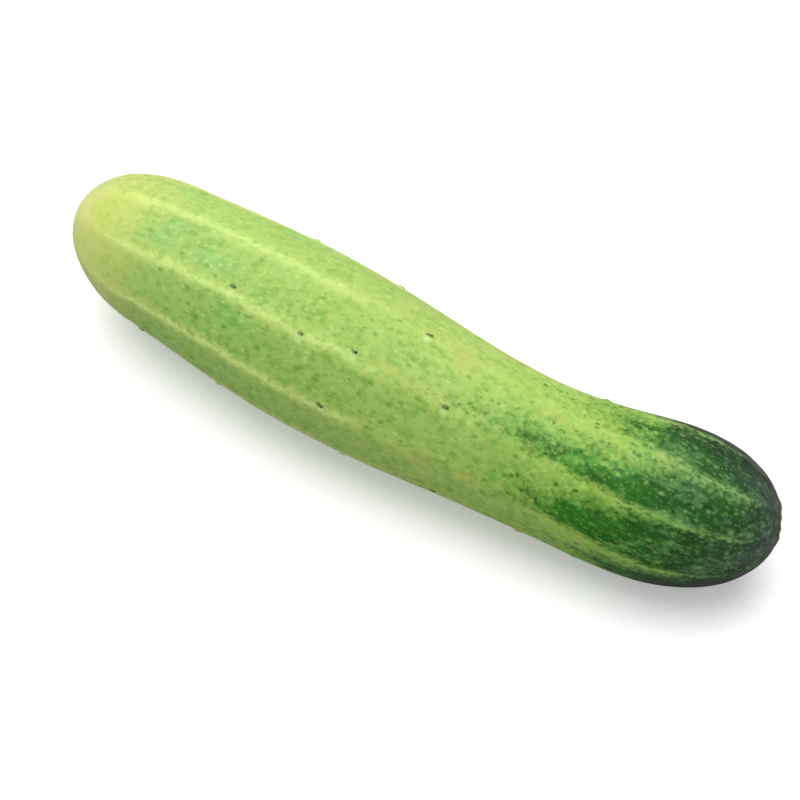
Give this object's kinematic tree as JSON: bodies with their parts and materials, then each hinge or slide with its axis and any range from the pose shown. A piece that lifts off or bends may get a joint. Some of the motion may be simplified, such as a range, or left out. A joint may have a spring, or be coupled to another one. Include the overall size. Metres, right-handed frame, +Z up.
{
  "type": "cucumber",
  "caption": "Fresh cucumber lying on its side: a slightly bent, ribbed fruit, pale at the blossom end and dark at the stem end, with low warts and a corky stem scar.",
  "frame": {"origin": "on the resting surface, under the middle of the cucumber's bounding box", "axes": "+X along the fruit from the pale blossom end to the dark stem end, +Z up, and the belly of its bend towards -Y"},
  "size_m": [0.1934, 0.0468, 0.0427],
  "materials": {
    "skin": "satin",
    "spine": "matte",
    "scar": "matte"
  },
  "bodies": {
    "root": {"cucumber": "skin"}
  },
  "joints": []
}
